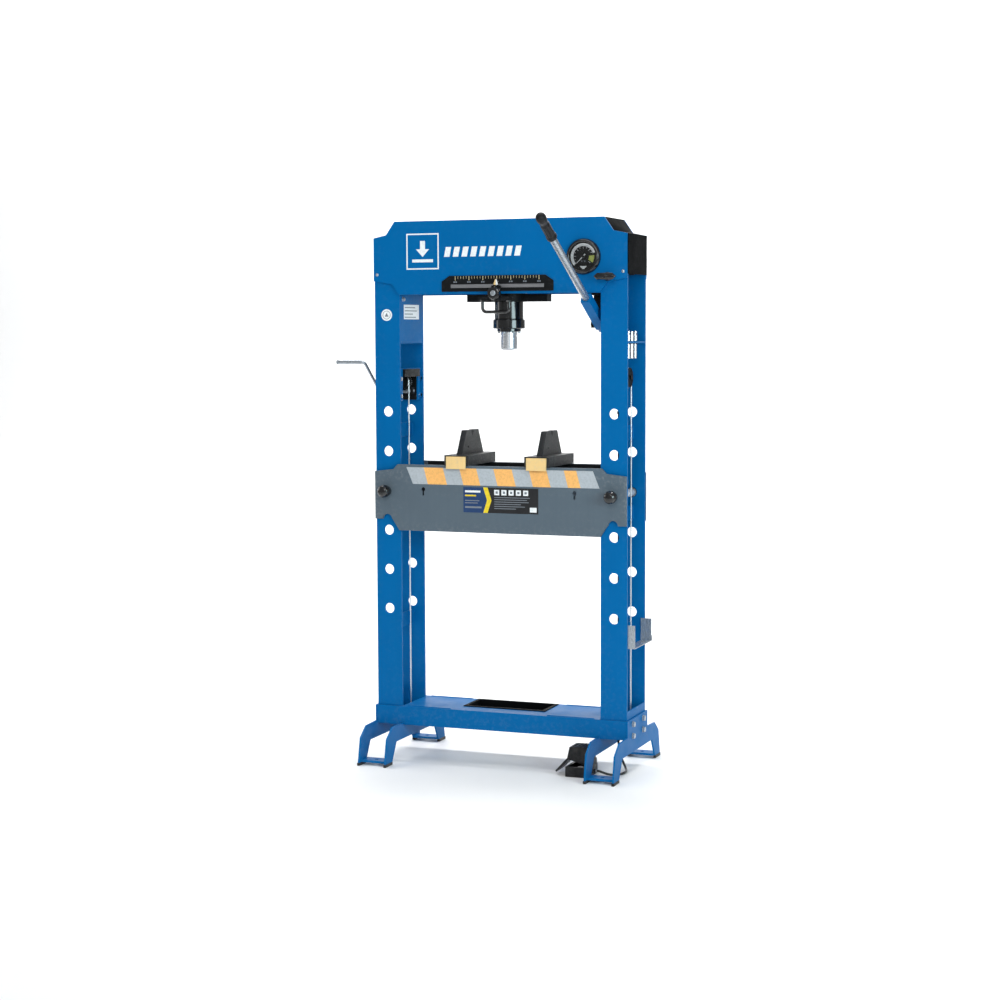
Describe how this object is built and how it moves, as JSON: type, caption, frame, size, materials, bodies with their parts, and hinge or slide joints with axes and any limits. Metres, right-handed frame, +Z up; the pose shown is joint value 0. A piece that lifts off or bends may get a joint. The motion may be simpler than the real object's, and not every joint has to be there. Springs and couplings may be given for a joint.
{
  "type": "hydraulic shop press",
  "caption": "Floor-standing hydraulic shop press: two-column frame, travelling ram head, pump handle and gauge, winch-lifted bed on pins, sliding V-blocks and an air foot valve.",
  "frame": {"origin": "on the floor, midway between the two columns and midway between the frame's front and rear plates", "axes": "+X to the right seen from the front, +Y to the back, +Z up"},
  "size_m": [1.093, 0.8811, 1.85],
  "materials": {
    "frame_blue": "gloss powder coat",
    "black_paint": "satin powder coat",
    "gloss_black": "gloss enamel",
    "bed_grey": "gloss powder coat",
    "tray_grey": "satin",
    "cast_black": "painted cast, machined front faces",
    "zinc_steel": "zinc plated",
    "chrome": "ground and chromed",
    "wire_rope": "galvanised wire rope",
    "gauge_black": "moulded, black",
    "gauge_glass": "clear",
    "needle_white": "white enamel",
    "grip_black": "moulded",
    "black_rubber": "plain",
    "air_black": "nylon tube",
    "hose_black": "smooth hose",
    "pedal_black": "moulded, fine grain"
  },
  "bodies": {
    "frame": {"column_left": "frame_blue", "column_right": "frame_blue", "column_webs": "frame_blue", "column_shelves": "frame_blue", "beam_front_plate": "frame_blue", "beam_rear_plate": "frame_blue", "beam_web": "frame_blue", "end_covers": "black_paint", "carriage_rails": "frame_blue", "base_frame": "frame_blue", "base_top_plate": "frame_blue", "parts_tray": "tray_grey", "foot_frames": "frame_blue", "foot_pads": "black_rubber", "foot_bolts": "zinc_steel", "bed_plates": "bed_grey", "bed_crossmembers": "black_paint", "scale_plate": "black_paint", "gauge_case": "gauge_black", "gauge_glass": "gauge_glass", "pump_block": "black_paint", "handle_pivot": "zinc_steel", "power_unit": "black_paint", "winch_mount": "frame_blue", "winch_housing": "black_paint", "pulley_brackets": "black_paint", "lift_rope": "wire_rope", "pedal_hanger": "zinc_steel", "air_line": "air_black", "pedal_base": "pedal_black", "pedal_hose": "hose_black"},
    "carriage": {"carriage_frame": "black_paint", "carriage_handle": "black_paint", "cylinder_body": "gloss_black", "cylinder_collar": "gloss_black", "return_spring": "zinc_steel"},
    "ram": {"ram": "chrome"},
    "roller_left": {"roller_set_left": "zinc_steel"},
    "roller_right": {"roller_set_right": "zinc_steel"},
    "clamp_knob": {"clamp_knob": "gloss_black"},
    "pump_handle": {"handle_socket": "frame_blue", "handle_tube": "zinc_steel", "handle_grip": "grip_black"},
    "plunger": {"pump_plunger": "zinc_steel"},
    "release_valve": {"release_valve": "gloss_black"},
    "gauge_needle": {"gauge_needle": "needle_white"},
    "crank": {"winch_crank": "zinc_steel"},
    "crank_grip": {"crank_grip": "zinc_steel"},
    "drum": {"winch_drum": "black_paint"},
    "sheave": {"rope_sheave": "black_paint"},
    "base_pulley_left": {"base_pulley_left": "black_paint"},
    "base_pulley_right": {"base_pulley_right": "black_paint"},
    "bed_pin_left": {"bed_pin_left": "zinc_steel"},
    "bed_pin_right": {"bed_pin_right": "zinc_steel"},
    "vblock_left": {"vblock_left": "cast_black"},
    "vblock_right": {"vblock_right": "cast_black"},
    "mandrel_front": {"mandrel_front": "zinc_steel"},
    "mandrel_middle": {"mandrel_middle": "zinc_steel"},
    "mandrel_rear": {"mandrel_rear": "zinc_steel"},
    "treadle": {"pedal_treadle": "pedal_black"}
  },
  "joints": [
    {"name": "carriage_slide", "type": "slide", "parent": "frame", "child": "carriage", "axis": [1, 0, 0], "range_m": [-0.15, 0.15]},
    {"name": "roller_left_spin", "type": "hinge", "parent": "carriage", "child": "roller_left", "pos_m": [-0.085, 0, 1.636], "axis": [0, 1, 0], "range_deg": [-480, 480]},
    {"name": "roller_right_spin", "type": "hinge", "parent": "carriage", "child": "roller_right", "pos_m": [0.085, 0, 1.636], "axis": [0, 1, 0], "range_deg": [-480, 480]},
    {"name": "clamp_knob_turn", "type": "hinge", "parent": "carriage", "child": "clamp_knob", "pos_m": [0, -0.131, 1.604], "axis": [0, 1, 0], "range_deg": [0, 270]},
    {"name": "ram_slide", "type": "slide", "parent": "carriage", "child": "ram", "axis": [0, 0, -1], "range_m": [0, 0.15], "stiffness_N_per_m": 800, "springref_m": -0.15, "deforming": ["return_spring"]},
    {"name": "handle_swing", "type": "hinge", "parent": "frame", "child": "pump_handle", "pos_m": [0.333, -0.0206, 1.5], "axis": [1, 0, 0], "range_deg": [-5, 35]},
    {"name": "plunger_slide", "type": "slide", "parent": "frame", "child": "plunger", "axis": [0, 0, 1], "range_m": [-0.0031, 0.0209]},
    {"name": "release_valve_turn", "type": "hinge", "parent": "frame", "child": "release_valve", "pos_m": [0.388, -0.14, 1.655], "axis": [0, 1, 0], "range_deg": [0, 90]},
    {"name": "gauge_needle_turn", "type": "hinge", "parent": "frame", "child": "gauge_needle", "pos_m": [0.305, -0.1195, 1.721], "axis": [0, 1, 0], "range_deg": [0, 270], "stiffness_Nm_per_rad": 0.05},
    {"name": "crank_spin", "type": "hinge", "parent": "frame", "child": "crank", "pos_m": [-0.51, 0.053, 1.272], "axis": [1, 0, 0], "continuous": true},
    {"name": "crank_grip_spin", "type": "hinge", "parent": "crank", "child": "crank_grip", "pos_m": [-0.56, -0.069, 1.373], "axis": [1, 0, 0], "continuous": true},
    {"name": "drum_spin", "type": "hinge", "parent": "frame", "child": "drum", "pos_m": [-0.411, 0, 1.304], "axis": [0, 1, 0], "continuous": true},
    {"name": "sheave_spin", "type": "hinge", "parent": "frame", "child": "sheave", "pos_m": [0.423, 0.005, 1.323], "axis": [1, 0, 0], "continuous": true},
    {"name": "base_pulley_left_spin", "type": "hinge", "parent": "frame", "child": "base_pulley_left", "pos_m": [-0.377, 0.035, 0.155], "axis": [0, 1, 0], "continuous": true},
    {"name": "base_pulley_right_spin", "type": "hinge", "parent": "frame", "child": "base_pulley_right", "pos_m": [0.411, 0.035, 0.155], "axis": [0, 1, 0], "continuous": true},
    {"name": "bed_pin_left_pull", "type": "slide", "parent": "frame", "child": "bed_pin_left", "axis": [0, -1, 0], "range_m": [0, 0.26]},
    {"name": "bed_pin_right_pull", "type": "slide", "parent": "frame", "child": "bed_pin_right", "axis": [0, -1, 0], "range_m": [0, 0.26]},
    {"name": "vblock_left_slide", "type": "slide", "parent": "frame", "child": "vblock_left", "axis": [1, 0, 0], "range_m": [-0.15, 0.09]},
    {"name": "vblock_right_slide", "type": "slide", "parent": "frame", "child": "vblock_right", "axis": [1, 0, 0], "range_m": [-0.09, 0.15]},
    {"name": "mandrel_front_lift", "type": "slide", "parent": "frame", "child": "mandrel_front", "axis": [0, 0, 1], "range_m": [0, 0.12]},
    {"name": "mandrel_middle_lift", "type": "slide", "parent": "frame", "child": "mandrel_middle", "axis": [0, 0, 1], "range_m": [0, 0.12]},
    {"name": "mandrel_rear_lift", "type": "slide", "parent": "frame", "child": "mandrel_rear", "axis": [0, 0, 1], "range_m": [0, 0.12]},
    {"name": "treadle_press", "type": "hinge", "parent": "frame", "child": "treadle", "pos_m": [0.334, -0.127, 0.043], "axis": [0, -1, 0], "range_deg": [0, 5], "stiffness_Nm_per_rad": 3, "springref_deg": -17.19}
  ],
  "couplings": [
    {"joint": "roller_left_spin", "follows": "carriage_slide", "rad_per_m": 55.556},
    {"joint": "roller_right_spin", "follows": "carriage_slide", "rad_per_m": 55.556},
    {"joint": "plunger_slide", "follows": "handle_swing", "m_per_rad": 0.034},
    {"joint": "drum_spin", "follows": "crank_spin", "ratio": 0.041667},
    {"joint": "sheave_spin", "follows": "crank_spin", "ratio": 0.030556},
    {"joint": "base_pulley_left_spin", "follows": "crank_spin", "ratio": -0.076389},
    {"joint": "base_pulley_right_spin", "follows": "crank_spin", "ratio": -0.076389}
  ]
}
